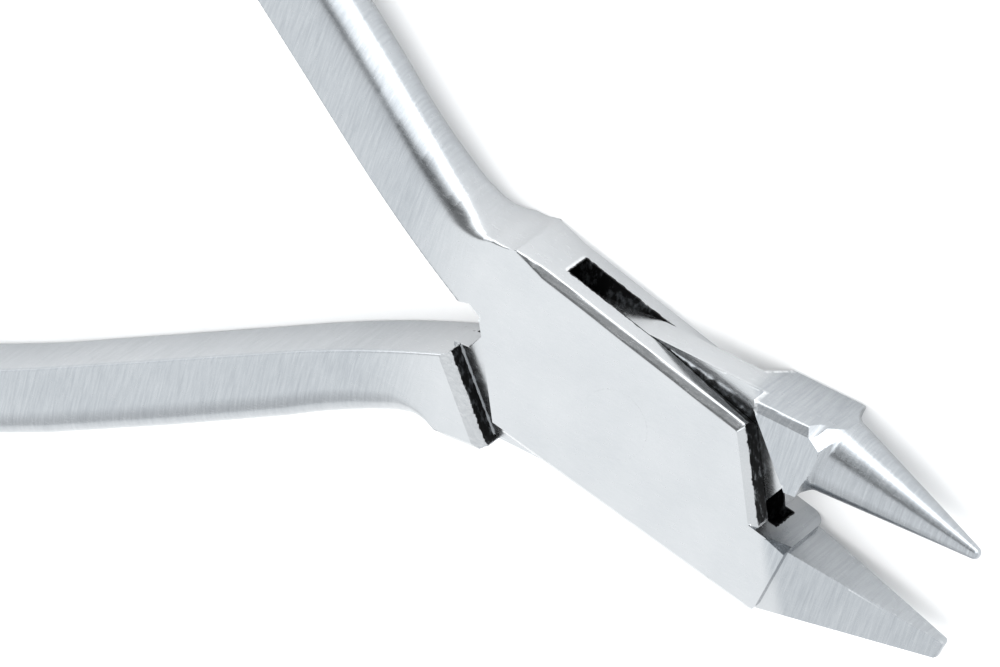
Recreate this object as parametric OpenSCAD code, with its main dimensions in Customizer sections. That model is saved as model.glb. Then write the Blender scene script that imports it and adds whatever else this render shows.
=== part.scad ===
// Box-joint beak pliers: a box half, a tenon half that passes through it, and one flush rivet.
// Each half is drawn closed, with its beak along +X, the pivot on the Z axis and the back face at Z = 0,
// and is then turned to the open rest pose.

/* [Joint] */
// Thickness of the joint, from the back face to the front face
joint_t = 7.9; // [7.6:0.1:8.4]
// Half the width of the joint, measured at the pivot
joint_half_w = 8.2; // [8:0.1:8.5]
// Thickness of the tenon that runs between the two cheeks
tenon_t = 3; // [2.6:0.1:3.2]
// Clearance between the tenon and each cheek
tenon_gap = 0.05; // [0.03:0.01:0.1]
// Opening angle between the halves in the rest pose
rest_angle = 16.3; // [10:0.1:20]

/* [Rivet] */
// Radius of the rivet's shank
rivet_r = 2.2; // [1.8:0.1:2.5]
// Radius of the rivet's flush heads
head_r = 3.3; // [3:0.1:3.6]
// Running clearance between the shank and the tenon's bore
rivet_gap = 0.03; // [0.02:0.01:0.06]

/* [Beaks] */
// Distance from the pivot to the tips of the beaks
tip_x = 34.3; // [32:0.1:36]
// Distance from the pivot to the step where the pyramid beak begins
step_x = 18.9; // [18.5:0.1:19.5]
// Radius of the round beak's tip
round_tip_r = 0.5; // [0.4:0.1:0.8]
// Thickness of the pyramid beak at its tip
flat_tip_t = 0.9; // [0.8:0.1:1.2]

/* [Handles] */
// Length of each handle, measured along its inner edge
handle_l = 81; // [75:1:90]
// Depth of the handle at its middle, from the inner side to the outer side
handle_depth = 7.4; // [6.4:0.1:8]
// Radius of the handle's outer corners at its middle
handle_round = 3.1; // [2:0.1:3.2]

/* [Hidden] */
eps = 0.01;
overlap = 1;           // how far one solid runs into the next where they are joined
steel = [0.78, 0.80, 0.82];
$fn = 96;

// Joint outline, shared by both halves
side_taper = 0.028;    // fall of the half-width for each millimetre towards the beaks
edge_chamfer = 0.6;    // chamfer along the joint's long edges
block_x = 15.6;        // the joint's block runs this far towards the handles
crotch = [-18, 0.3];   // where the inner edge of the handle leaves the block
tuck = [-18.6, 2.5];   // a point inside the handle that the block runs into
haunch = [-18, 7.2];   // where the block's slanted outer corner meets the handle
function side_y(x) = joint_half_w - side_taper * x;

// Cheeks of the box half: two slanted edges, at these distances from the pivot
cheek_angle = 34;      // direction of the slanted edges' normal, from +X
cheek_front_d = 12.95; // beak-side edge
cheek_rear_d = 12.5;   // handle-side edge
cheek_bevel = 0.65;    // bevel on the beak-side edge

// Slot through the box half, and the tenon that fills it when the beaks are closed
slot_end_x = 10.9;     // end of the slot at the joint's long edges
slot_mouth_x = 16.5;   // end of the slot at the middle plane
slot_side = 0.2;       // clearance between the ends of the tenon and the slot
tenon_half_w = 8.4;    // half the width of the tenon at the pivot
tenon_taper = 0.075;   // fall of the tenon half's width for each millimetre towards its beak

// Shoulders of the tenon half
shoulder_angle = 32.8; // direction of the shoulders' normal, from +X
shoulder_d = 14.4;     // distance of the shoulders from the pivot
shoulder_bevel = 0.95; // bevel on the handle-side shoulder
jaw_root_y = 0.3;      // lower side of the jaw, between its shoulder and the round beak
rear_drop = 0.4;       // the handle-side block is this much narrower than the joint

// Round beak: a cone with a leaning axis
cone_base = [18.2, 3.83];
cone_tip_y = -0.39;
cone_base_r = 3.9;

// Pyramid beak
pyramid_setback = 1;        // step down from the front and back faces
pyramid_inner_y = [-0.5, -0.1];  // inner face at the step and at the tip
pyramid_outer_y = [-7.2, -1.9];  // outer side at the step and at the tip

// Handle: arc length along the inner edge, against heading, depth and corner radius
handle_start = [-17.4, 0.2];
handle_end_r = 3.2;         // rounding of the free end
end_rounding = 0.9;         // share of that rounding taken off, which leaves a small flat
handle_stations = concat(
    [for (i = [0:20]) i / 20 * (handle_l - handle_end_r)],
    [for (a = [18:18:90]) handle_l - handle_end_r * (1 - sin(a))]);
handle_heading = [[0, 18], [17, 26], [44, 26], [53, 22.5], [80, -4]];
handle_depths = [[0, 0.93], [3, 0.89], [6, 0.9], [10, 0.93], [17, 0.97], [30, 1], [80, 1]];
handle_rounds = [[0, 0.16], [2, 0.55], [5, 0.9], [10, 1], [80, 1]];
inner_round = 0.5;          // radius of the handle's inner corners
outer_steps = 6;            // flats in each outer corner of the section
inner_steps = 2;            // flats in each inner corner
root_inset = 0.05;          // the handle's faces lie this far inside the joint's
free_inset = 0.4;           // the same at the free end

// A line at distance d from the pivot whose normal points along angle a, read at height y
function slant_x(a, d, y) = (d - y * sin(a)) / cos(a);
function slant_point(a, d, y) = [slant_x(a, d, y), y];

// Cuts a 45 degree chamfer of leg c along the edge a-b on the back and front faces
module cut_edge(a, b, c) {
    run = b - a;
    for (z = [0, joint_t])
        translate([(a.x + b.x) / 2, (a.y + b.y) / 2, z])
            rotate([0, 0, atan2(run.y, run.x)])
                rotate([45, 0, 0])
                    cube([norm(run) + 2 * c, c * sqrt(2), c * sqrt(2)], center = true);
}

module plate(z0, z1, points) {
    translate([0, 0, z0])
        linear_extrude(z1 - z0)
            polygon(points);
}

// Handle sweep: inner edge, local directions and one closed ring of the D section
function heading(s) = lookup(s, handle_heading);
function stride(i) = handle_stations[i] - handle_stations[i - 1];
function mid_heading(i) = heading(handle_stations[i] - stride(i) / 2);
function walk(i) =
    i == 0 ? handle_start : walk(i - 1) + stride(i) * [-cos(mid_heading(i)), sin(mid_heading(i))];

function arc(cu, cw, r, a0, a1, n) =
    [for (k = [0:n]) [cu + r * cos(a0 + (a1 - a0) * k / n), cw + r * sin(a0 + (a1 - a0) * k / n)]];

function d_section(u0, u1, w0, w1, r_in, r_out) = concat(
    arc(u1 - r_out, w0 + r_out, r_out, -90, 0, outer_steps),
    arc(u1 - r_out, w1 - r_out, r_out, 0, 90, outer_steps),
    arc(u0 + r_in, w1 - r_in, r_in, 90, 180, inner_steps),
    arc(u0 + r_in, w0 + r_in, r_in, 180, 270, inner_steps));

function end_inset(s) =
    let (t = max(0, s - handle_l + handle_end_r) / handle_end_r)
    end_rounding * handle_end_r * (1 - sqrt(max(0, 1 - t * t)));

function ring(i) =
    let (s = handle_stations[i],
         p = walk(i),
         h = heading(s),
         e = end_inset(s),
         face = root_inset + (free_inset - root_inset) * s / handle_l + e,
         depth = handle_depth * lookup(s, handle_depths),
         r_out = handle_round * lookup(s, handle_rounds) * (handle_end_r - e) / handle_end_r,
         r_in = inner_round * (handle_end_r - e) / handle_end_r)
    [for (q = d_section(e, depth - e, face, joint_t - face, r_in, r_out))
        [p.x + q.x * sin(h), p.y + q.x * cos(h), q.y]];

module handle() {
    n = len(ring(0));
    last = len(handle_stations) - 1;
    polyhedron(
        points = [for (i = [0:last]) each ring(i)],
        faces = concat(
            [[for (k = [n - 1:-1:0]) k]],
            [for (i = [0:last - 1], k = [0:n - 1])
                [i * n + k, i * n + (k + 1) % n, (i + 1) * n + k]],
            [for (i = [0:last - 1], k = [0:n - 1])
                [i * n + (k + 1) % n, (i + 1) * n + (k + 1) % n, (i + 1) * n + k]],
            [[for (k = [0:n - 1]) last * n + k]]));
}

module pyramid_beak() {
    mid = joint_t / 2;
    intersection() {
        plate(0, joint_t, [
            [step_x - overlap, pyramid_inner_y[0]],
            [step_x - overlap, pyramid_outer_y[0]],
            [step_x, pyramid_outer_y[0]],
            [tip_x, pyramid_outer_y[1]],
            [tip_x, pyramid_inner_y[1]]
        ]);
        rotate([90, 0, 0])
            linear_extrude(2 * joint_half_w, center = true)
                polygon([
                    [step_x - overlap, pyramid_setback],
                    [step_x, pyramid_setback],
                    [tip_x, mid - flat_tip_t / 2],
                    [tip_x, mid + flat_tip_t / 2],
                    [step_x, joint_t - pyramid_setback],
                    [step_x - overlap, joint_t - pyramid_setback]
                ]);
    }
}

module cone_beak() {
    lean = atan2(cone_tip_y - cone_base.y, tip_x - cone_base.x);
    translate([cone_base.x, cone_base.y, joint_t / 2])
        rotate([0, 90, lean])
            cylinder(h = norm([tip_x - cone_base.x, cone_tip_y - cone_base.y]),
                     r1 = cone_base_r, r2 = round_tip_r);
}

module rivet_hole(r, countersunk) {
    depth = head_r - rivet_r;
    translate([0, 0, -eps])
        cylinder(h = joint_t + 2 * eps, r = r);
    if (countersunk)
        for (z = [0, 1])
            translate([0, 0, z * joint_t])
                mirror([0, 0, z])
                    cylinder(h = depth, r1 = head_r, r2 = rivet_r);
}

// The space that the tenon runs in, open to both long edges
module slot() {
    z0 = (joint_t - tenon_t) / 2 - tenon_gap;
    reach = 2 * joint_half_w;
    half = [
        [slot_end_x, reach],
        [-slot_end_x, reach],
        [-slot_end_x, joint_half_w],
        [-slot_mouth_x, 0],
        [-slot_mouth_x - overlap, -overlap]
    ];
    plate(z0, joint_t - z0, concat(half, -half));
}

module box_half() {
    top_front = slant_point(cheek_angle, cheek_front_d, side_y(slot_end_x));
    mouth = slant_point(cheek_angle, cheek_front_d, 0);
    rear_top = slant_point(cheek_angle, -cheek_rear_d, crotch.y);
    rear_bottom = slant_point(cheek_angle, -cheek_rear_d, -side_y(-slot_end_x));
    color(steel)
    rotate([0, 0, -rest_angle / 2])
    difference() {
        union() {
            plate(0, joint_t, [
                [-block_x, side_y(-block_x)],
                haunch,
                tuck,
                crotch,
                rear_top,
                rear_bottom,
                [step_x, -side_y(step_x)],
                [step_x, 0],
                mouth,
                top_front
            ]);
            handle();
            pyramid_beak();
        }
        slot();
        rivet_hole(rivet_r, true);
        cut_edge([-block_x, side_y(-block_x)], top_front, edge_chamfer);
        cut_edge(rear_bottom, [step_x, -side_y(step_x)], edge_chamfer);
        cut_edge(top_front, mouth, cheek_bevel);
    }
}

module tenon_half() {
    z0 = (joint_t - tenon_t) / 2;
    top = slant_point(shoulder_angle, shoulder_d, tenon_half_w - tenon_taper * shoulder_d);
    root = slant_point(shoulder_angle, shoulder_d, jaw_root_y);
    rear_root = slant_point(shoulder_angle, -shoulder_d, 0);
    rear_bottom = slant_point(shoulder_angle, -shoulder_d, -joint_half_w + edge_chamfer);
    tenon_end = slot_end_x - slot_side;
    tenon_side = [
        [-tenon_end, tenon_half_w],
        [0, tenon_half_w],
        [slot_mouth_x, tenon_half_w - tenon_taper * slot_mouth_x],
        [slot_mouth_x - 2 * slot_side, jaw_root_y]
    ];
    jaw_top = tenon_half_w - tenon_taper * step_x;
    color(steel)
    rotate([0, 0, rest_angle / 2])
    difference() {
        union() {
            plate(z0, joint_t - z0, concat(tenon_side, -tenon_side));
            plate(0, joint_t, [root, [step_x, jaw_root_y], [step_x, jaw_top], top]);
            plate(0, joint_t, [
                rear_root,
                [crotch.x, 0],
                [tuck.x, -tuck.y],
                [haunch.x, -haunch.y],
                [-block_x, rear_drop - side_y(-block_x)],
                rear_bottom
            ]);
            mirror([0, 1, 0])
                handle();
            cone_beak();
        }
        rivet_hole(rivet_r + rivet_gap, false);
        cut_edge(top, [step_x, jaw_top], edge_chamfer);
        cut_edge(rear_root, rear_bottom, shoulder_bevel);
    }
}

module joint_rivet() {
    depth = head_r - rivet_r;
    color(steel * 0.96)
    union() {
        cylinder(h = joint_t, r = rivet_r);
        for (z = [0, 1])
            translate([0, 0, z * joint_t])
                mirror([0, 0, z])
                    cylinder(h = depth, r1 = head_r, r2 = rivet_r);
    }
}

box_half();
tenon_half();
joint_rivet();
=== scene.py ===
"""Looks for the box-joint beak pliers: each half is one smooth solid, meshed from a distance field."""

import math

import bpy
import numpy as np
from mathutils import Matrix


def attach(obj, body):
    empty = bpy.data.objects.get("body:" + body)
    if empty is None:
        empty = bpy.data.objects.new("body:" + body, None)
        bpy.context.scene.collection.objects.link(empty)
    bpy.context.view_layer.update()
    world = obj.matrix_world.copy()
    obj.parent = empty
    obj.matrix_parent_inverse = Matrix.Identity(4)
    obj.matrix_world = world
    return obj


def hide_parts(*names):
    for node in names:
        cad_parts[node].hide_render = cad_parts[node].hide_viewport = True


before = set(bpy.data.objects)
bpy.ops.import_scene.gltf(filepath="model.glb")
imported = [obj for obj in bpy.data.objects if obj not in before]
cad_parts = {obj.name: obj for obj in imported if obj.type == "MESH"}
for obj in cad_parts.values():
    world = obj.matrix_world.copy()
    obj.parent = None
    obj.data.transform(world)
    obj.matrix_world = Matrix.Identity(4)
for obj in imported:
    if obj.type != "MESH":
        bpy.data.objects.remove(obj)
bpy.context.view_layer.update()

# Sizes are in mm. Each half is drawn closed: beak along +X, pivot on Z, back face at Z = 0.
# A plane is its outward normal and its distance from the pivot: (nx, ny, d), or (nx, ny, nz, d) where
# heights are measured from the front face. A table has rows of a place and the value there.
MM = 0.001

# Joint outline, shared by both halves
JOINT_T = 7.9
MID = JOINT_T / 2
REST_ANGLE = 16.3
JOINT_HALF_W = 8.2
SIDE_TAPER = 0.028  # fall of the half-width for each millimetre towards the beaks
ROOT_CORNER = (-0.44, 0.898, 14.39)  # slants the joint's outer corner down to the handle
CROTCH_Y = 0.3  # where the inner edge of the handle leaves the block
EDGE_CHAMFER = 0.7
CHAMFER_SHARE = ((-15.5, 0.1), (-11.9, 1))  # the box half's chamfers run out along X
EDGE_R = 0.1

# Box half: its cheeks, and the step where the pyramid beak begins
CHEEK_ANGLE = 34
CHEEK_FRONT_D = 12.95
CHEEK_REAR_D = 12.5
CHEEK_REAR_Y = 1  # the handle-side cheek edge ends at this height
CHEEK_BEVEL = 0.65
BLOCK_X = 15.6  # the block runs this far towards the handle
STEP_X = 18.9
STEP_R = 1.6
STEP_SIDE_R = 1.2
STEP_CORNER = (0.116, 0.969, 0.216, 1.906)
NOTCH_PEAK = (-16.7, 1.03)  # highest point of the notch at the handle's inner edge
NOTCH_SLOPES = (0.53, -0.36)
NOTCH_END_X = -15.3

# Slot, and the relief under the front cheek at the joint's long edge
SLOT_END = (0.826, -0.564, 13.63)
RELIEF_X = -0.6  # the relief starts here and runs towards the beaks
RELIEF_DEPTH = 2.43  # its ceiling starts this far below the front face
RELIEF_RISE = 0.12  # rise of the ceiling for each millimetre along X
RELIEF_LEAN = 0.4  # how far its inner wall leans in for each millimetre below the ceiling

# Tenon, and the shoulders on both sides of it
TENON_T = 3
TENON_GAP = 0.05
TENON_HALF_W = 8.4
TENON_TAPER = 0.075
TENON_END_X = 17.8
SLOT_SIDE = 0.2
SHOULDER_ANGLE = 32.8
SHOULDER_D = 14.4
SHOULDER_BACK = ((0.54, SHOULDER_D), (2.45, 13.1))  # beak-side shoulder behind the tenon, against height
SHOULDER_BEVEL = 0.95
SHOULDER_BACK_BEVEL = 0.3
REAR_DROP = 0.4  # the handle-side block is this much narrower than the joint
REAR_BEVEL = 0.5
REAR_BLOCK_X = 17.3
REAR_TRIM = (0.47, -0.883, 1.17)  # slanted face between the handle-side block's side and its shoulder

# Rivet
RIVET_R = 2.2
HEAD_R = 3.3
RIVET_GAP = 0.03

# Pyramid beak: values at the step and at the tip
TIP_X = 34.3
PYRAMID_X = 17.5  # where the beak starts, inside the block
PYRAMID_INNER_Y = (-0.5, -0.1)
PYRAMID_OUTER_Y = (-7.3, -1.9)
PYRAMID_HALF_T = (2.95, 0.45)
PYRAMID_TIP_R = 0.3

# Round beak: a cone with a leaning axis, and the jaw that it grows out of
CONE_BASE = (18.2, 3.83)
CONE_TIP = (TIP_X, -0.39)
CONE_RADII = (3.9, 0.5)
CONE_START = 0.2  # along the cone's axis, from its base
CONE_TIP_R = 0.45
CONE_FILLET = 0.9
JAW_END = 0.75  # along the cone's axis, from its base
JAW_BACK_CHAMFER = 0.3
JAW_CORNER = (0.62, 0.7, 0.33, 15.76)

# Handle: tables against the length along its inner edge. They give its heading, its depth, the radius of its
# outer corners, how far its faces lie inside the joint's, how wide the faces are flat from the inner edge,
# and how steeply they fall beyond that.
HANDLE_L = 81
CURVE_L = 90  # the tables and the inner edge run on past the handle's end
CURVE_STEPS = 360
HANDLE_START = (-17.4, 0.2)
HANDLE_OVERLAP = 2.2  # the handle runs this far into the block
HANDLE_HEADING = ((0, 18), (17, 26), (44, 26), (53, 22.5), (80, -4), (CURVE_L, -4))
HANDLE_DEPTH = ((0, 6.9), (1, 6.65), (3, 6.6), (6, 6.7), (10, 6.9), (17, 7.15), (30, 7.4), (CURVE_L, 7.4))
HANDLE_ROUND = ((-2, 0.1), (0, 0.5), (2, 1.7), (5, 2.8), (10, 3.2), (20, 3.3), (CURVE_L, 3.2))
HANDLE_INSET = ((0, 0), (4, 0.015), (10, 0.07), (20, 0.18), (81, 0.4), (CURVE_L, 0.4))
HANDLE_FLAT = ((-1, 8), (0.5, 6.3), (3, 4.3), (6, 2.7), (10, 1.3), (14, 0), (CURVE_L, 0))
HANDLE_TILT = ((0, 0), (1, 0.13), (10, 0.13), (20, 0.09), (CURVE_L, 0.08))
HANDLE_END_R = 3
INNER_R = 0.45
ROOT_FILLET = 1.6

# Meshing: each half is sampled between two corners of a box
CELL = 0.25  # distance between the samples
BOX_SAMPLES = ((-100.1, -9.1, -0.6), (35.1, 38, 8.6))
TENON_SAMPLES = ((-100.1, -38, -0.6), (35.1, 9.1, 8.6))
SAMPLE_ROWS = 64  # rows of samples worked out at a time
HALVINGS = 7  # steps that close in on each crossing
CENTRE_PULL = 0.03  # keeps a vertex near the middle of its crossings where they set no corner
NORMAL_STEP = 0.004
BROAD_STEP = 0.05  # for normals that look past the finest edges
SHADING_PULL = 0.2  # share by which shading normals are read inside their triangle's corners

# Painted edge highlights and brushed marks
HIGHLIGHT_W = 0.35  # width of the painted highlight band along an edge
HIGHLIGHT_FADE = 1.4  # edges that face -Y, away from the light, lose their painted highlight, which keeps them as grey as the real ones
BRUSHED_HANDLE_X = -17  # the marks begin here, and have their full strength after the fade
BRUSHED_HANDLE_FADE = 9
BRUSHED_BEAK_D = 13.2  # along the normal of the cheeks' edges

# Painted black shade on walls in the joint's recesses: how much each wall has, and how near to the wall a
# vertex must be to take part in it
SLOT_SHADE = 1.0
RELIEF_SHADE = 0.8
CHEEK_SHADE = 0.75
TENON_SHADE = 0.95
REAR_SHADE = 1.0
JAW_SHADE = 0.55
ON_WALL = 0.12
ON_SLOT = 0.02
ON_TENON = 0.03
PAST_WALL = 0.05  # how far past a wall's end its scale may reach
FACING = 0.8  # cosine from which a vertex counts as facing the same way as a wall
RELIEF_FACING = 0.3
CHEEK_FOOT_Y = 0.1  # the cheek's wall has painted shade above this height
OUTER_Y = 5  # the relief and the tenon's long edge have painted shade above this height
TENON_EDGE_X = -5.5  # the tenon's long edge has painted shade from here towards the handles
RELIEF_MARGINS = (0.1, 0.03)  # clean steel at the relief's start, and next to the joint's side
TENON_MARGIN = 0.1  # clean steel next to the shoulders
WALL_MARGINS = (1.2, 0.9)  # clean steel on the shoulders, next to the back and front faces

# Colours of the steel
STEEL = (0.515, 0.525, 0.537, 1)
STEEL_DARK = (0.47, 0.483, 0.497, 1)
BRUSHED_LIGHT = (0.84, 0.855, 0.87, 1)
BRUSHED_DARK = (0.66, 0.68, 0.70, 1)
# painted highlight colour for the edges
EDGE_HIGHLIGHT = (0.86, 0.87, 0.88, 1)
# painted black shade for the recesses, greyer where the patches show
SHADE_BLACK = (0.012, 0.012, 0.012, 1)
SHADE_GREY = (0.16, 0.17, 0.18, 1)
WHITE = (1, 1, 1, 1)

# Noise patterns: size as a frequency per metre, stretch along X, Y and Z, detail and roughness
CLOUD = (160, (1, 1, 1), 3, 0.55)
GRAIN = (2600, (0.35, 1.6, 1.6), 5, 0.7)
BRUSH_MARKS = (2200, (1.8, 0.12, 0.12), 5, 0.7)
SPECK = (5200, (1, 1, 1), 2, 0.55)
PATCHES = (1500, (1, 0.6, 1.3), 5, 0.65)

# Shares, and the spans of a pattern over which a colour or another share changes
GRAIN_SHARE = 0.45  # share of the grain in the satin's tone, against the cloud
HEIGHT_SHARE = 0.5  # share of the specks in the steel's bumps, against the grain
SATIN_SPAN = (0.35, 0.65)
BRUSH_SPAN = (0.3, 0.7)
# span over which the painted edge highlight comes in
HIGHLIGHT_SPAN = (0.35, 1.0)
SPECK_SPAN = (0.3, 0.6)
# share of the painted edge highlight that the specks let through
SPECK_HIGHLIGHT = (0.4, 1)
PATCH_SPAN = (0.3, 0.7)
PATCH_COVER = (0.3, -0.3)  # what the patches add to the share of painted shade, which makes its edge ragged
COVER_SPAN = (0.35, 0.65)
SHADE_SPAN = (0.5, 0.72)
GRAIN_SPAN = (0.3, 0.7)
SATIN_ROUGHNESS = (0.19, 0.29)
SHADE_ROUGHNESS = 0.6
SHADE_HEIGHT = 6.0  # the bumps under the painted shade, against those of the steel
BUMP_STRENGTH = 0.35
BUMP_DEPTH = 0.00001
GRAIN_TURN = 25  # degrees from X
RIVET_GRAIN_TURN = 70

# Studio: lengths in metres, power in watts
FLOOR_HALF = 3.0
FLOOR_COLOUR = (0.82, 0.82, 0.82, 1)
FLOOR_GLOW = 0.1
TENT_COLOUR = (0.97, 0.99, 1, 1)
TENT_LEVEL = 1.62
BAND_CORE = 0.35  # share of a band's half width that has its full strength
TENT_PATCHES = (
    # strength, fade-in along X and along Y, and band in height by its centre and half width
    (-1.3, (0.45, 0.3), (0.2, 0.4), (0.75, 0.42)),  # dark patch high on the +Y side
    (-0.45, (0.5, 0.7), (0.1, 0.36), None),  # shade between +X and +Y
    (2.5, None, (0.3, 0.8), (0.04, 0.34)),  # bright band low on the +Y side
    (1.5, (0.25, 0.42), (0.38, 0.52), None),  # bright side between +X and +Y
    (-0.25, (-0.3, 0.3), None, None),  # a little dimmer on the +X side
    (-0.5, None, (-0.7, -1), None),  # dimmer far round on the -Y side
)
TOP_SIZE = (1.2, 1.2)
TOP_PLACE = (0, 0.1, 1.1)
TOP_POWER = 8
LOW_SIZE = (0.6, 0.3)
LOW_PLACE = (0.02, 0.19, 0.001)
LOW_POWER = 0.9
LOW_TURN = -17

# Camera: its axes and place in the frame
CAMERA_RIGHT = (0.8229, 0.2621, -0.5042)
CAMERA_UP = (-0.4755, 0.8033, -0.3585)
CAMERA_BACKWARD = (0.3111, 0.5347, 0.7857)
CAMERA_PLACE = (0.17475, 0.32459, 0.48146)
CAMERA_LENS = 248.4
CAMERA_SENSOR = 36
CAMERA_REACH = 10


def intersect(*fields):
    return np.maximum.reduce(np.broadcast_arrays(*fields))


def unite(*fields):
    return np.minimum.reduce(np.broadcast_arrays(*fields))


def round_edge(a, b, r):
    """Intersection of two fields, with the edge between them rounded to radius r."""
    return np.minimum(np.maximum(a, b), -r) + np.hypot(np.maximum(a + r, 0), np.maximum(b + r, 0))


def fillet(a, b, r):
    """Union of two fields, with the corner between them filled to radius r."""
    return np.maximum(np.minimum(a, b), r) - np.hypot(np.maximum(r - a, 0), np.maximum(r - b, 0))


def chamfer(a, b, leg):
    """The face at 45 degrees that takes the given leg off the edge between two faces."""
    return (a + b + leg) * math.sqrt(0.5)


def bevel(a, b, leg):
    """Intersection of two fields, with the edge between them cut off at 45 degrees."""
    return intersect(a, b, chamfer(a, b, leg))


def table(s, rows):
    """Reads a table at s, straight from row to row and level beyond its ends."""
    keys, values = zip(*rows)
    return np.interp(s, keys, values)


def between(ends, share):
    return ends[0] + (ends[1] - ends[0]) * share


def wall(x, y, plane):
    nx, ny, d = plane
    return nx * x + ny * y - d


def facet(x, y, front, plane):
    nx, ny, nz, d = plane
    return nx * x + ny * y + nz * front - d


def across(x, y, angle):
    """Distance from the pivot along a slanted edge's normal."""
    return x * math.cos(math.radians(angle)) + y * math.sin(math.radians(angle))


def slab(z, half_t):
    return np.abs(z - MID) - half_t


def side_y(x):
    return JOINT_HALF_W - SIDE_TAPER * x


def relief_ceiling(x):
    return JOINT_T - RELIEF_DEPTH + RELIEF_RISE * (x - RELIEF_X)


def slot_ends(x, y):
    return intersect(wall(x, y, SLOT_END), wall(-x, -y, SLOT_END))


def tenon_ends(x, y):
    """The tenon's end walls, which stop at the middle plane, where the shoulders take over."""
    right = wall(x, y, SLOT_END) + SLOT_SIDE
    left = wall(-x, -y, SLOT_END) + SLOT_SIDE
    return intersect(unite(right, -y), unite(left, y), np.abs(x) - TENON_END_X)


def handle_curve():
    """Follows the headings along the inner edge, and returns its points in order of growing x."""
    s = np.linspace(0, CURVE_L, CURVE_STEPS + 1)
    heading = np.radians(table((s[1:] + s[:-1]) / 2, HANDLE_HEADING))
    x = HANDLE_START[0] - np.concatenate([[0], np.cumsum(np.cos(heading) * np.diff(s))])
    y = HANDLE_START[1] + np.concatenate([[0], np.cumsum(np.sin(heading) * np.diff(s))])
    return s[::-1], x[::-1], y[::-1]


CURVE_S, CURVE_X, CURVE_Y = handle_curve()


def handle_coords(x, y):
    """Length along the handle, and the distance across it from the inner edge."""
    beyond = x - HANDLE_START[0]
    s = np.where(beyond > 0, -beyond, np.interp(x, CURVE_X, CURVE_S))
    heading = np.radians(table(s, HANDLE_HEADING))
    edge_y = np.interp(x, CURVE_X, CURVE_Y) - np.maximum(beyond, 0) * np.tan(heading)
    return s, (y - edge_y) * np.cos(heading)


def handle_bar(x, y, z):
    """The handle: flat inside, with outer corners whose rounding runs out towards the joint."""
    s, u = handle_coords(x, y)
    free_end = s - HANDLE_L
    outer = fillet(u - table(s, HANDLE_DEPTH), wall(x, y, ROOT_CORNER), ROOT_FILLET)
    outer = round_edge(outer, free_end, HANDLE_END_R)
    inner = round_edge(-u, free_end, HANDLE_END_R)
    drop = table(s, HANDLE_INSET) + table(s, HANDLE_TILT) * np.maximum(u - table(s, HANDLE_FLAT), 0)
    front = z - JOINT_T + drop
    back = drop - z
    radius = table(s, HANDLE_ROUND)
    outside = intersect(round_edge(outer, front, radius), round_edge(outer, back, radius))
    inside = intersect(round_edge(inner, front, INNER_R), round_edge(inner, back, INNER_R))
    return intersect(outside, inside, -HANDLE_OVERLAP - s)


def rivet_hole(x, y, radius):
    return np.hypot(x, y) - radius


def countersinks(x, y, z):
    """The cones at both faces that take the rivet's heads."""
    rim = rivet_hole(x, y, HEAD_R)
    return unite(rim - (z - JOINT_T), rim + z) * math.sqrt(0.5)


def pyramid_beak(x, y, z):
    length = TIP_X - STEP_X
    share = (x - STEP_X) / length
    side_slope = (PYRAMID_OUTER_Y[1] - PYRAMID_OUTER_Y[0]) / length
    face_slope = (PYRAMID_HALF_T[0] - PYRAMID_HALF_T[1]) / length
    inner = y - between(PYRAMID_INNER_Y, share)
    outer = (between(PYRAMID_OUTER_Y, share) - y) / math.hypot(1, side_slope)
    faces = slab(z, between(PYRAMID_HALF_T, share)) / math.hypot(1, face_slope)
    body = intersect(inner, outer, faces, PYRAMID_X - x)
    return round_edge(body, x - TIP_X, PYRAMID_TIP_R)


def box_block(x, y, front, back):
    """The joint's block, from the handle's root to the step where the pyramid beak begins."""
    top = y - side_y(x)
    bottom = -side_y(x) - y
    leg = EDGE_CHAMFER * table(x, CHAMFER_SHARE)
    cheek = across(x, y, CHEEK_ANGLE) - CHEEK_FRONT_D
    cheek = intersect(bevel(cheek, front, CHEEK_BEVEL), bevel(cheek, back, CHEEK_BEVEL))
    step = intersect(y, round_edge(x - STEP_X, back, STEP_R), facet(x, y, front, STEP_CORNER))
    right = unite(cheek, step)
    rear_cheek = intersect(-across(x, y, CHEEK_ANGLE) - CHEEK_REAR_D, y - CHEEK_REAR_Y)
    left = unite(rear_cheek, intersect(CROTCH_Y - y, -BLOCK_X - x))
    long_sides = intersect(top, round_edge(bottom, x - STEP_X, STEP_SIDE_R))
    outline = intersect(long_sides, right, left, wall(x, y, ROOT_CORNER))
    outline = round_edge(outline, chamfer(top, front, leg), EDGE_R)
    lower = intersect(chamfer(bottom, front, leg), chamfer(bottom, back, leg))
    return intersect(outline, front, back, chamfer(top, back, leg), lower)


def box_field(x, y, z):
    """The box half: block, handle and pyramid beak, less slot, relief, notch and the rivet's seat."""
    front = z - JOINT_T
    back = -z
    body = unite(box_block(x, y, front, back), handle_bar(x, y, z), pyramid_beak(x, y, z))
    body = intersect(body, front, back)
    slot = intersect(slab(z, TENON_T / 2 + TENON_GAP), slot_ends(x, y))
    below = relief_ceiling(x) - z
    relief = intersect(-below, side_y(x) - RELIEF_LEAN * below - y, RELIEF_X - x, MID - z)
    peak_x, peak_y = NOTCH_PEAK
    notch_sides = [y - peak_y - slope * (x - peak_x) for slope in NOTCH_SLOPES]
    notch = intersect(*notch_sides, x - NOTCH_END_X)
    cuts = unite(slot, relief, notch, rivet_hole(x, y, RIVET_R), countersinks(x, y, z))
    return intersect(body, -cuts)


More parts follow.
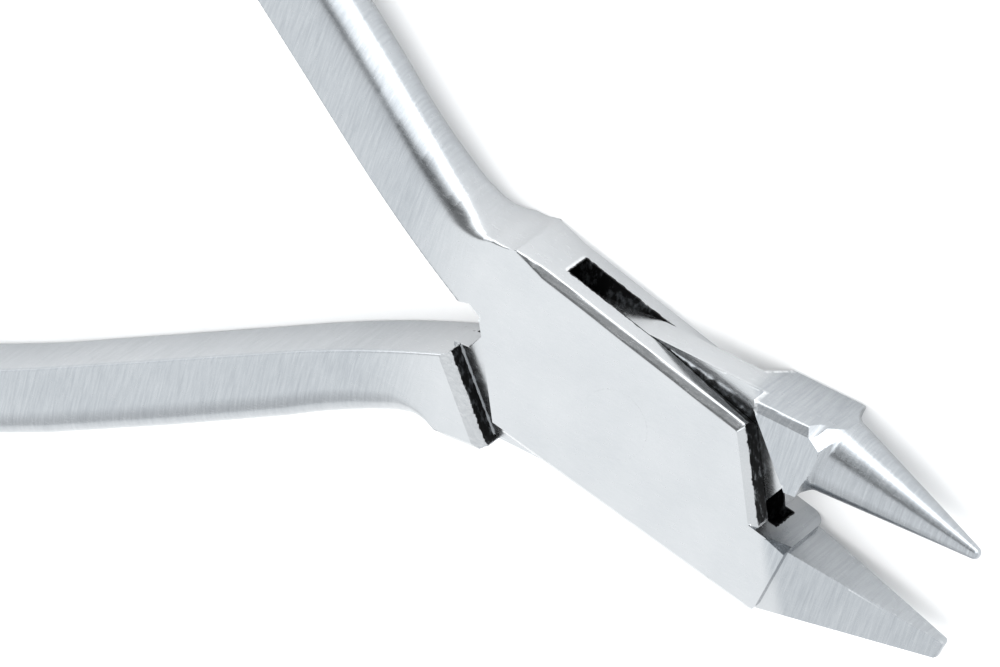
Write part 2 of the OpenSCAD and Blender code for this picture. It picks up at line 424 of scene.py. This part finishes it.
def cone_beak(x, y, z):
    """The round beak, and the distance along its axis."""
    run = CONE_TIP[0] - CONE_BASE[0]
    fall = CONE_TIP[1] - CONE_BASE[1]
    length = math.hypot(run, fall)
    along = ((x - CONE_BASE[0]) * run + (y - CONE_BASE[1]) * fall) / length
    over = ((y - CONE_BASE[1]) * run - (x - CONE_BASE[0]) * fall) / length
    slope = (CONE_RADII[0] - CONE_RADII[1]) / length
    cone = (np.hypot(over, z - MID) - between(CONE_RADII, along / length)) / math.hypot(1, slope)
    return intersect(round_edge(cone, along - length, CONE_TIP_R), CONE_START - along), along


def tenon_beak(x, y, z, top):
    """The round beak and its jaw, behind the beak-side shoulder."""
    front = z - JOINT_T
    back = -z
    shoulder_d = np.where(z > MID, SHOULDER_D, table(z, SHOULDER_BACK))
    shoulder = shoulder_d - across(x, y, SHOULDER_ANGLE)
    cone, along = cone_beak(x, y, z)
    jaw = round_edge(top, chamfer(top, front, EDGE_CHAMFER), EDGE_R)
    jaw = intersect(jaw, chamfer(top, back, JAW_BACK_CHAMFER), front, back, shoulder)
    jaw = intersect(jaw, CROTCH_Y - y, along - JAW_END, facet(x, y, front, JAW_CORNER))
    return intersect(fillet(jaw, cone, CONE_FILLET), front, back, top, shoulder)


def tenon_rear(x, y, z):
    """The handle and the block at its root, behind the handle-side shoulder."""
    front = z - JOINT_T
    back = -z
    shoulder = across(x, y, SHOULDER_ANGLE) + SHOULDER_D
    shoulder = intersect(bevel(shoulder, front, SHOULDER_BEVEL), bevel(shoulder, back, SHOULDER_BACK_BEVEL))
    side = REAR_DROP - y - side_y(x)
    side = intersect(bevel(side, front, REAR_BEVEL), bevel(side, back, REAR_BEVEL), wall(x, y, REAR_TRIM))
    block = intersect(front, back, y, side, wall(x, -y, ROOT_CORNER), -REAR_BLOCK_X - x)
    handle = intersect(handle_bar(x, -y, z), unite(side, x + REAR_BLOCK_X))
    return intersect(unite(block, handle), shoulder)


def tenon_field(x, y, z):
    """The tenon half: the tenon, the beak side and the handle side, less the rivet's bore."""
    top = y - TENON_HALF_W + TENON_TAPER * np.maximum(x, 0)
    bottom = -y - TENON_HALF_W + TENON_TAPER * np.maximum(-x, 0)
    tenon = intersect(slab(z, TENON_T / 2), top, bottom, tenon_ends(x, y))
    body = unite(tenon, tenon_beak(x, y, z, top), tenon_rear(x, y, z))
    return intersect(body, -rivet_hole(x, y, RIVET_R + RIVET_GAP))


def crossings(field, values, axis, low):
    """Edges of the sample grid that the surface crosses: their cells, points and outward sides."""
    inside = values < 0
    first = np.take(inside, range(inside.shape[axis] - 1), axis)
    second = np.take(inside, range(1, inside.shape[axis]), axis)
    index = np.argwhere(first != second)
    outward = first[tuple(index.T)]
    near = low + index * CELL
    far = near.copy()
    far[:, axis] += CELL
    for _ in range(HALVINGS):
        middle = (near + far) / 2
        same = (field(*middle.T) < 0) == outward
        near[same] = middle[same]
        far[~same] = middle[~same]
    return index, (near + far) / 2, outward


def normals(field, points, step=NORMAL_STEP):
    grad = np.stack([
        field(*(points + step * unit).T) - field(*(points - step * unit).T)
        for unit in np.eye(3)
    ], axis=1)
    return grad / np.maximum(np.linalg.norm(grad, axis=1, keepdims=True), 1e-9)


def sample(field, low, counts):
    """The field's values at the points of a grid."""
    axes = [low[i] + CELL * np.arange(counts[i]) for i in range(3)]
    values = np.empty(counts, np.float32)
    for start in range(0, counts[0], SAMPLE_ROWS):
        part = slice(start, start + SAMPLE_ROWS)
        grid = np.meshgrid(axes[0][part], axes[1], axes[2], indexing="ij")
        values[part] = field(*grid)
    return values


def corner_points(hits, hit_normals, member, count):
    """For each cell, the point that lies nearest to all the tangent planes at its crossings."""
    def total(weights):
        return np.bincount(member, weights, count)

    crossed = total(np.ones(len(member)))
    centre = np.stack([total(hits[:, i]) / crossed for i in range(3)], axis=1)
    offset = np.einsum("ij,ij->i", hit_normals, hits - centre[member])
    matrix = np.empty((count, 3, 3))
    for i in range(3):
        for j in range(i, 3):
            matrix[:, i, j] = matrix[:, j, i] = total(hit_normals[:, i] * hit_normals[:, j])
    matrix += CENTRE_PULL * np.eye(3)
    vector = np.stack([total(hit_normals[:, i] * offset) for i in range(3)], axis=1)
    return centre + np.linalg.solve(matrix, vector[:, :, None])[:, :, 0]


def surface(field, low, high):
    """Dual contouring: one vertex in each cell that the surface crosses, set on the sharp edges."""
    low = np.array(low, float)
    counts = np.ceil((np.array(high) - low) / CELL).astype(int) + 1
    values = sample(field, low, counts)
    quads, hits, cell_of = [], [], []
    for axis in range(3):
        index, hit, outward = crossings(field, values, axis, low)
        b, c = (axis + 1) % 3, (axis + 2) % 3
        ring = []
        for step_b, step_c in ((-1, -1), (0, -1), (0, 0), (-1, 0)):
            cell = index.copy()
            cell[:, b] += step_b
            cell[:, c] += step_c
            ring.append(np.ravel_multi_index(cell.T, counts))
        ring = np.stack(ring, axis=1)
        quads.append(np.where(outward[:, None], ring, ring[:, ::-1]))
        hits.append(hit)
        cell_of.append(ring.ravel())
    hits = np.concatenate(hits)
    hit_normals = np.repeat(normals(field, hits), 4, axis=0)
    cells, member = np.unique(np.concatenate(cell_of), return_inverse=True)
    vertices = corner_points(np.repeat(hits, 4, axis=0), hit_normals, member, len(cells))
    corner = low + CELL * np.stack(np.unravel_index(cells, counts), axis=1)
    vertices = np.clip(vertices, corner, corner + CELL)
    quads = np.searchsorted(cells, np.concatenate(quads))
    return vertices, split(field, vertices, quads)


def split(field, vertices, quads):
    """Cuts each quad along the diagonal that lies nearer to the surface."""
    a, b, c, d = (vertices[quads[:, i]] for i in range(4))
    first = np.abs(field(*((a + c) / 2).T))
    second = np.abs(field(*((b + d) / 2).T))
    swap = (second < first)[:, None]
    quads = np.where(swap, np.roll(quads, -1, axis=1), quads)
    return np.concatenate([quads[:, [0, 1, 2]], quads[:, [0, 2, 3]]])


def turned(vectors, degrees):
    """The vectors, turned about Z."""
    angle = math.radians(degrees)
    x, y, z = vectors.T
    return np.stack([
        x * math.cos(angle) - y * math.sin(angle),
        x * math.sin(angle) + y * math.cos(angle),
        z,
    ], axis=1)


def shading_normals(field, vertices, faces):
    """A normal for each face's corners, read just inside the face, so that sharp edges stay sharp."""
    corners = vertices[faces]
    middle = corners.mean(axis=1, keepdims=True)
    just_inside = (1 - SHADING_PULL) * corners + SHADING_PULL * middle
    return normals(field, just_inside.reshape(-1, 3))


def surface_shares(field, vertices, painted_shade):
    """How far each vertex has painted black shade, painted edge highlight and brushed marks, from 0 to 1."""
    outward = normals(field, vertices, BROAD_STEP)
    # painted highlight along the edges, faded out on edges that face -Y, away from the light
    near_edge = 1 + field(*(vertices - HIGHLIGHT_W * outward).T) / HIGHLIGHT_W
    edge_highlight = near_edge * (1 - np.clip(-HIGHLIGHT_FADE * outward[:, 1], 0, 1))
    on_handle = (BRUSHED_HANDLE_X - vertices[:, 0]) / BRUSHED_HANDLE_FADE
    on_beak = across(vertices[:, 0], vertices[:, 1], CHEEK_ANGLE) - BRUSHED_BEAK_D
    return {"painted_shade": painted_shade(vertices, outward), "edge_highlight": edge_highlight, "brushed": np.maximum(on_handle, on_beak)}


def add_piece(name, field, samples, turn, painted_shade):
    """Meshes a field and turns it to the rest pose. The painted-shade rule gives each vertex its share of
    painted black shade.
    """
    vertices, faces = surface(field, *samples)
    mesh = bpy.data.meshes.new(name)
    mesh.vertices.add(len(vertices))
    mesh.loops.add(faces.size)
    mesh.polygons.add(len(faces))
    mesh.vertices.foreach_set("co", (turned(vertices, turn) * MM).ravel())
    mesh.loops.foreach_set("vertex_index", faces.ravel())
    mesh.polygons.foreach_set("loop_start", np.arange(0, faces.size, 3))
    mesh.update(calc_edges=True)
    mesh.validate()
    for layer_name, share in surface_shares(field, vertices, painted_shade).items():
        layer = mesh.attributes.new(layer_name, "FLOAT", "POINT")
        layer.data.foreach_set("value", np.clip(share, 0, 1).astype(np.float32))
    mesh.polygons.foreach_set("use_smooth", np.ones(len(faces), bool))
    mesh.normals_split_custom_set(turned(shading_normals(field, vertices, faces), turn))
    obj = bpy.data.objects.new(name, mesh)
    bpy.context.scene.collection.objects.link(obj)
    return obj


def box_painted_shade(p, n):
    """Painted black shade in the slot, on the relief's wall and on the beak-side edge of the front cheek."""
    x, y, z = p.T
    slot = (slab(z, TENON_T / 2 + TENON_GAP) < ON_SLOT) & (slot_ends(x, y) < PAST_WALL)
    cheek = (np.abs(across(x, y, CHEEK_ANGLE) - CHEEK_FRONT_D) < ON_WALL) & (y > CHEEK_FOOT_Y)
    cheek &= (z > MID) & (z < JOINT_T - CHEEK_BEVEL + PAST_WALL)
    relief = (z > MID) & (z < relief_ceiling(x) + PAST_WALL) & (x > RELIEF_X + RELIEF_MARGINS[0])
    relief &= (y > OUTER_Y) & (y < side_y(x) - RELIEF_MARGINS[1]) & (n[:, 1] > RELIEF_FACING)
    return np.select([slot, relief, cheek], [SLOT_SHADE, RELIEF_SHADE, CHEEK_SHADE], 0.0)


def tenon_painted_shade(p, n):
    """Painted black shade on the tenon's ends, on its long edge towards the handles and on the shoulders."""
    x, y, z = p.T
    d = across(x, y, SHOULDER_ANGLE)
    facing = across(n[:, 0], n[:, 1], SHOULDER_ANGLE)
    shoulders = (np.abs(np.abs(d) - SHOULDER_D) < ON_WALL) & (np.abs(facing) > FACING)
    shoulders &= (z > WALL_MARGINS[0]) & (z < JOINT_T - WALL_MARGINS[1])
    on_tenon = (slab(z, TENON_T / 2) < ON_TENON) & (np.abs(d) < SHOULDER_D - TENON_MARGIN)
    end_facing = SLOT_END[0] * n[:, 0] + SLOT_END[1] * n[:, 1]
    ends = on_tenon & (np.abs(end_facing) > FACING)
    long_edge = on_tenon & (x < TENON_EDGE_X) & (y > OUTER_Y)
    return np.select(
        [ends | long_edge, shoulders & (d < 0), shoulders],
        [TENON_SHADE, REAR_SHADE, JAW_SHADE],
        0.0,
    )


# Sockets of a Mix node: factor, first value, second value and result
MIX_SOCKETS = {"RGBA": (0, 6, 7, 2), "FLOAT": (0, 2, 3, 0)}


def feed(tree, socket, value):
    """Links a socket to another node's output, or sets it to a plain value."""
    if isinstance(value, bpy.types.NodeSocket):
        tree.links.new(value, socket)
    else:
        socket.default_value = value


def mix_node(tree, kind, factor, a, b, blend="MIX"):
    node = tree.nodes.new("ShaderNodeMix")
    node.data_type = kind
    node.blend_type = blend
    *inputs, result = MIX_SOCKETS[kind]
    for socket, value in zip(inputs, (factor, a, b)):
        feed(tree, node.inputs[socket], value)
    return node.outputs[result]


def math_node(tree, operation, *values):
    node = tree.nodes.new("ShaderNodeMath")
    node.operation = operation
    for socket, value in zip(node.inputs, values):
        feed(tree, socket, value)
    return node.outputs[0]


def ramp(tree, value, low, high, out_low=0.0, out_high=1.0):
    node = tree.nodes.new("ShaderNodeMapRange")
    node.inputs["From Min"].default_value = low
    node.inputs["From Max"].default_value = high
    node.inputs["To Min"].default_value = out_low
    node.inputs["To Max"].default_value = out_high
    tree.links.new(value, node.inputs["Value"])
    return node.outputs["Result"]


def noise(tree, coords, pattern, turn=0):
    scale, stretch, detail, roughness = pattern
    mapping = tree.nodes.new("ShaderNodeMapping")
    mapping.inputs["Scale"].default_value = stretch
    mapping.inputs["Rotation"].default_value = (0, 0, math.radians(turn))
    tree.links.new(coords, mapping.inputs["Vector"])
    node = tree.nodes.new("ShaderNodeTexNoise")
    node.inputs["Scale"].default_value = scale
    node.inputs["Detail"].default_value = detail
    node.inputs["Roughness"].default_value = roughness
    tree.links.new(mapping.outputs["Vector"], node.inputs["Vector"])
    return node.outputs["Fac"]


def attribute(tree, name):
    node = tree.nodes.new("ShaderNodeAttribute")
    node.attribute_name = name
    return node.outputs["Fac"]


def steel_material(name, grain_turn):
    """Satin steel, brushed across the handles and beaks, with a painted highlight along the edges and
    painted black shade in the joint's recesses.
    """
    material = bpy.data.materials.new(name)
    material.use_nodes = True
    tree = material.node_tree
    shader = tree.nodes["Principled BSDF"]
    coords = tree.nodes.new("ShaderNodeTexCoord").outputs["Object"]
    cloud = noise(tree, coords, CLOUD)
    grain = noise(tree, coords, GRAIN, grain_turn)
    brush_marks = noise(tree, coords, BRUSH_MARKS, -grain_turn)
    speck = noise(tree, coords, SPECK)
    patches = noise(tree, coords, PATCHES)

    tone = mix_node(tree, "FLOAT", GRAIN_SHARE, cloud, grain)
    satin = mix_node(tree, "RGBA", ramp(tree, tone, *SATIN_SPAN), STEEL_DARK, STEEL)
    brushed = mix_node(tree, "RGBA", ramp(tree, brush_marks, *BRUSH_SPAN), BRUSHED_DARK, BRUSHED_LIGHT)
    tint = mix_node(tree, "RGBA", attribute(tree, "brushed"), WHITE, brushed)
    colour = mix_node(tree, "RGBA", 1, satin, tint, "MULTIPLY")

    # painted highlight along the edges, broken up by specks
    highlight_band = ramp(tree, attribute(tree, "edge_highlight"), *HIGHLIGHT_SPAN)
    highlighted = math_node(tree, "MULTIPLY", highlight_band, ramp(tree, speck, *SPECK_SPAN, *SPECK_HIGHLIGHT))
    colour = mix_node(tree, "RGBA", highlighted, colour, EDGE_HIGHLIGHT)

    ragged = ramp(tree, patches, *PATCH_SPAN, *PATCH_COVER)
    # painted black shade in the recesses, with a ragged edge from the patches
    covered = ramp(tree, math_node(tree, "ADD", attribute(tree, "painted_shade"), ragged), *COVER_SPAN)
    shade_tone = mix_node(tree, "RGBA", ramp(tree, patches, *SHADE_SPAN), SHADE_BLACK, SHADE_GREY)
    colour = mix_node(tree, "RGBA", covered, colour, shade_tone)
    tree.links.new(colour, shader.inputs["Base Color"])

    roughness = ramp(tree, grain, *GRAIN_SPAN, *SATIN_ROUGHNESS)
    roughness = mix_node(tree, "FLOAT", covered, roughness, SHADE_ROUGHNESS)
    tree.links.new(roughness, shader.inputs["Roughness"])
    shader.inputs["Metallic"].default_value = 1.0

    steel_height = mix_node(tree, "FLOAT", HEIGHT_SHARE, grain, speck)
    shade_height = math_node(tree, "MULTIPLY", patches, SHADE_HEIGHT)
    bump = tree.nodes.new("ShaderNodeBump")
    bump.inputs["Strength"].default_value = BUMP_STRENGTH
    bump.inputs["Distance"].default_value = BUMP_DEPTH
    tree.links.new(mix_node(tree, "FLOAT", covered, steel_height, shade_height), bump.inputs["Height"])
    tree.links.new(bump.outputs["Normal"], shader.inputs["Normal"])
    return material


def floor_material():
    """A matt pale floor that glows a little, so that shadows on it stay faint."""
    material = bpy.data.materials.new("studio_floor")
    material.use_nodes = True
    shader = material.node_tree.nodes["Principled BSDF"]
    shader.inputs["Base Color"].default_value = FLOOR_COLOUR
    shader.inputs["Roughness"].default_value = 1.0
    shader.inputs["Specular IOR Level"].default_value = 0.0
    shader.inputs["Emission Color"].default_value = WHITE
    shader.inputs["Emission Strength"].default_value = FLOOR_GLOW
    return material


def add_floor():
    corners = [(x * FLOOR_HALF, y * FLOOR_HALF, 0) for x, y in ((-1, -1), (1, -1), (1, 1), (-1, 1))]
    mesh = bpy.data.meshes.new("studio_floor")
    mesh.from_pydata(corners, [], [(0, 1, 2, 3)])
    mesh.materials.append(floor_material())
    floor = bpy.data.objects.new("studio_floor", mesh)
    bpy.context.scene.collection.objects.link(floor)


def tent_patch(tree, axes, spans, band):
    """Where a patch of the tent shows: the product of its fades along X and Y and its band in height."""
    factors = [ramp(tree, axis, *span) for axis, span in zip(axes, spans) if span]
    if band:
        centre, half = band
        away = math_node(tree, "ABSOLUTE", math_node(tree, "SUBTRACT", axes[2], centre))
        factors.append(ramp(tree, away, BAND_CORE * half, half, 1.0, 0.0))
    shown = factors[0]
    for factor in factors[1:]:
        shown = math_node(tree, "MULTIPLY", shown, factor)
    return shown


def add_world():
    """A light tent: even light, with darker and brighter patches for the steel to reflect."""
    world = bpy.data.worlds.new("studio")
    bpy.context.scene.world = world
    world.use_nodes = True
    tree = world.node_tree
    direction = tree.nodes.new("ShaderNodeTexCoord").outputs["Generated"]
    parts = tree.nodes.new("ShaderNodeSeparateXYZ")
    tree.links.new(direction, parts.inputs[0])
    level = TENT_LEVEL
    for strength, x_span, y_span, band in TENT_PATCHES:
        shown = tent_patch(tree, parts.outputs, (x_span, y_span), band)
        level = math_node(tree, "ADD", level, math_node(tree, "MULTIPLY", shown, strength))
    background = tree.nodes["Background"]
    tree.links.new(level, background.inputs["Strength"])
    background.inputs["Color"].default_value = TENT_COLOUR


def add_softbox(name, shape, size, energy, place):
    light = bpy.data.lights.new(name, "AREA")
    light.shape = shape
    light.size, light.size_y = size
    light.energy = energy
    obj = bpy.data.objects.new(name, light)
    obj.location = place
    bpy.context.scene.collection.objects.link(obj)
    return obj


def add_lights():
    """A softbox overhead, and one beside the pliers, facing up, that only their outer edges reflect."""
    top = add_softbox("top_softbox", "DISK", TOP_SIZE, TOP_POWER, TOP_PLACE)
    top.visible_glossy = False
    low = add_softbox("low_softbox", "RECTANGLE", LOW_SIZE, LOW_POWER, LOW_PLACE)
    low.rotation_euler = (math.pi, 0, math.radians(LOW_TURN))
    low.visible_camera = False
    low.visible_diffuse = False


def add_camera():
    camera = bpy.data.cameras.new("photo_camera")
    camera.sensor_width = CAMERA_SENSOR
    camera.lens = CAMERA_LENS
    camera.clip_end = CAMERA_REACH
    obj = bpy.data.objects.new("photo_camera", camera)
    rows = list(zip(CAMERA_RIGHT, CAMERA_UP, CAMERA_BACKWARD, CAMERA_PLACE))
    obj.matrix_world = Matrix([*rows, (0, 0, 0, 1)])
    bpy.context.scene.collection.objects.link(obj)
    bpy.context.scene.camera = obj


add_camera()
add_world()
add_lights()
add_floor()

box_piece = add_piece("box_half_steel", box_field, BOX_SAMPLES, -REST_ANGLE / 2, box_painted_shade)
tenon_piece = add_piece("tenon_half_steel", tenon_field, TENON_SAMPLES, REST_ANGLE / 2, tenon_painted_shade)
for piece, body, node, slot, turn in (
    (box_piece, "box_side", "box_half", "box_steel", GRAIN_TURN),
    (tenon_piece, "tenon_side", "tenon_half", "tenon_steel", -GRAIN_TURN),
):
    piece.data.materials.append(steel_material(slot + "_satin", turn))
    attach(piece, body)
    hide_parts(node)
    print(piece.name, len(piece.data.polygons), "faces")

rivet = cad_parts["joint_rivet"]
rivet.data.materials.clear()
rivet.data.materials.append(steel_material("rivet_satin", RIVET_GRAIN_TURN))

bpy.context.scene.view_settings.view_transform = "Standard"
